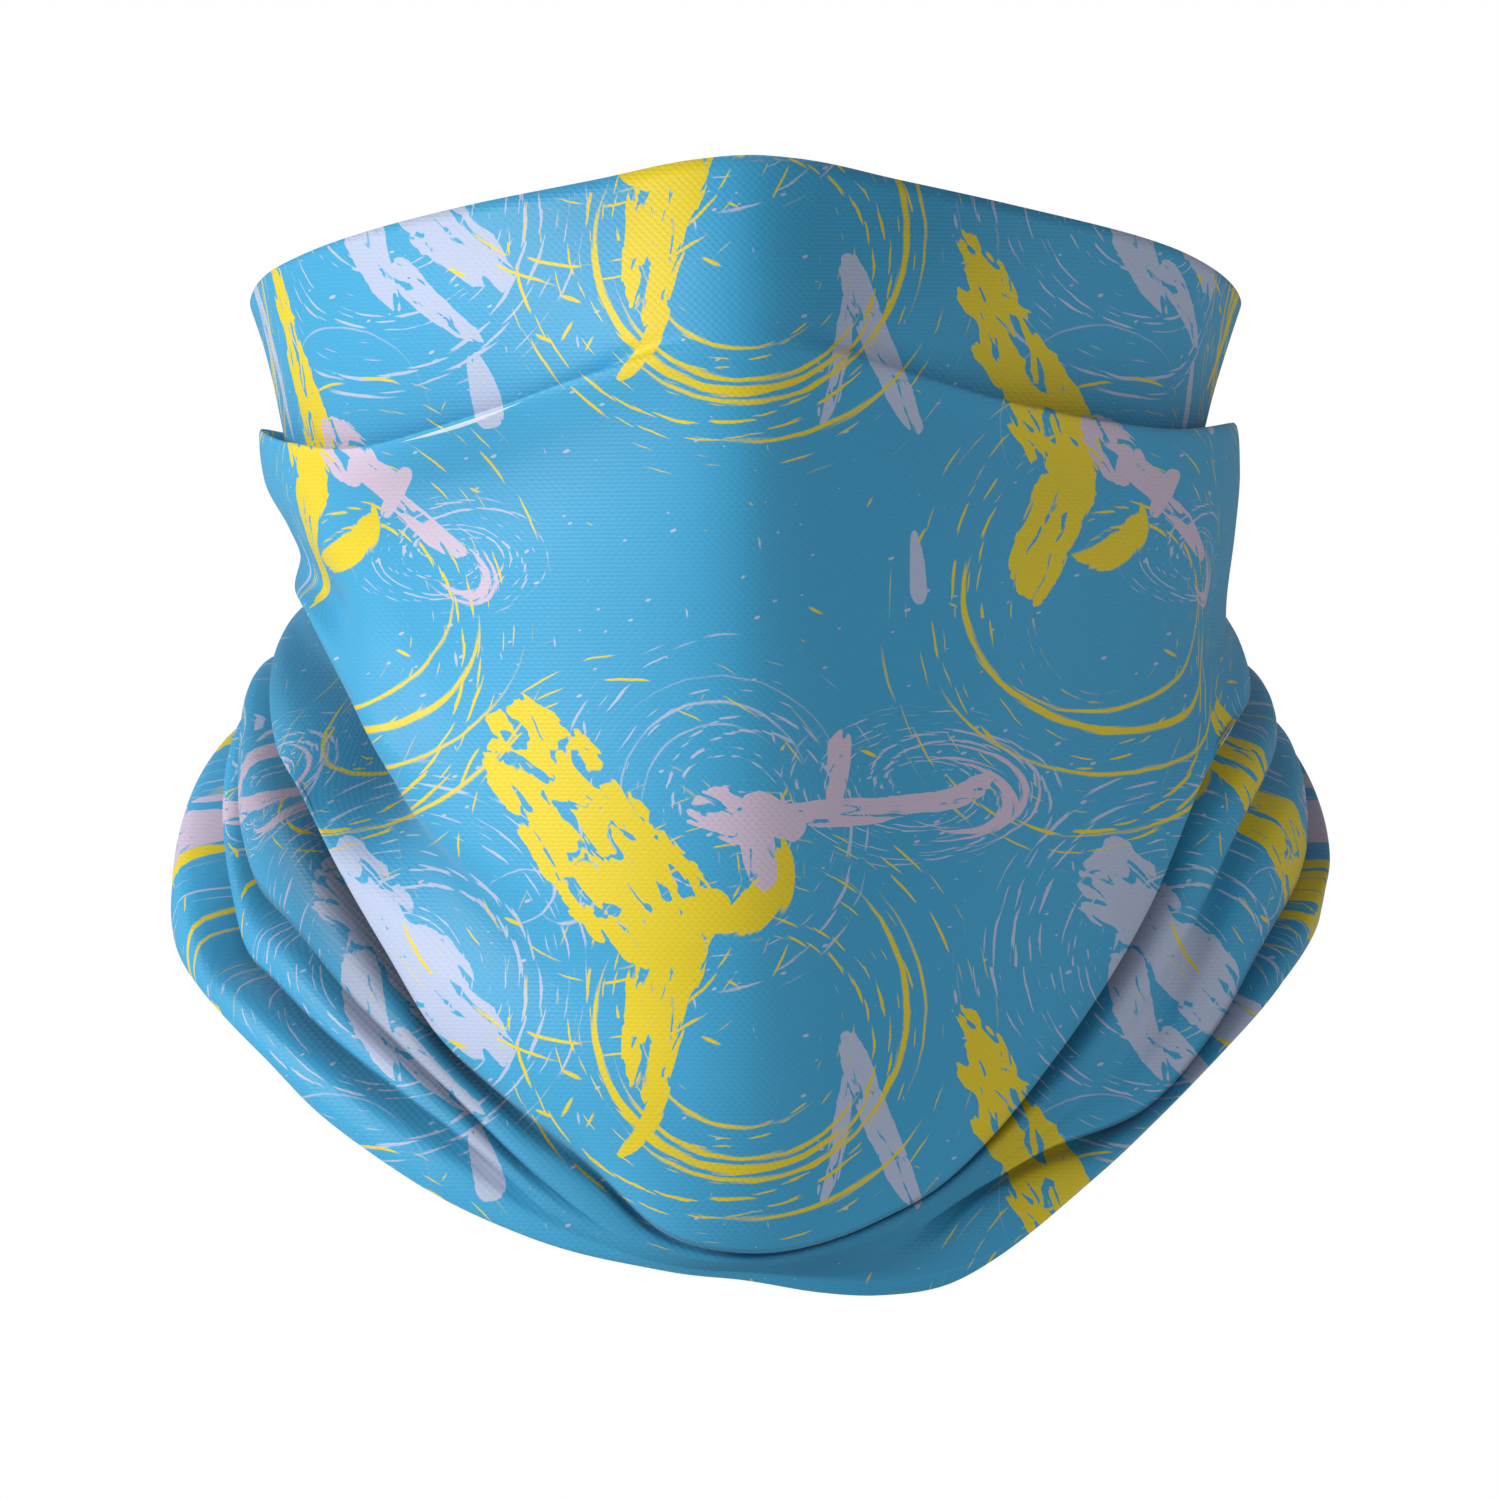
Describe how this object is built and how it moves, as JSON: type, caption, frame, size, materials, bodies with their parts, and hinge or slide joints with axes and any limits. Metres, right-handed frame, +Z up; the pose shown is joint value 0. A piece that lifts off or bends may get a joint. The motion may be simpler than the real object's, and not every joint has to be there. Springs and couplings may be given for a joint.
{
  "type": "neck gaiter",
  "caption": "Stretch-knit tube worn up over the nose and bunched round the neck, shown in its worn shape, with a flat centre-back seam and a small label inside.",
  "frame": {"origin": "on the axis of the wearer's neck, at the height of the lowest point of the bottom rim", "axes": "+Z up along the neck, -Y towards the front of the face, +X to the right as seen from the front"},
  "size_m": [0.1853, 0.1972, 0.1774],
  "materials": {
    "printed_fabric": "satin stretch knit, printed with yellow, lilac and pink brush strokes on sky blue, off-white inside",
    "sewing_thread": "textured polyester sewing thread",
    "label_tape": "blank white woven tape"
  },
  "bodies": {
    "gaiter": {"printed_tube": "printed_fabric", "needle_thread_left": "sewing_thread", "needle_thread_right": "sewing_thread", "cover_thread": "sewing_thread", "looper_thread": "sewing_thread"},
    "label": {"care_label": "label_tape"}
  },
  "joints": [
    {"name": "care_label_hinge", "type": "hinge", "parent": "gaiter", "child": "label", "pos_m": [0.0042, 0.0854, 0.1335], "axis": [0, 0, -1], "range_deg": [0, 140]}
  ]
}
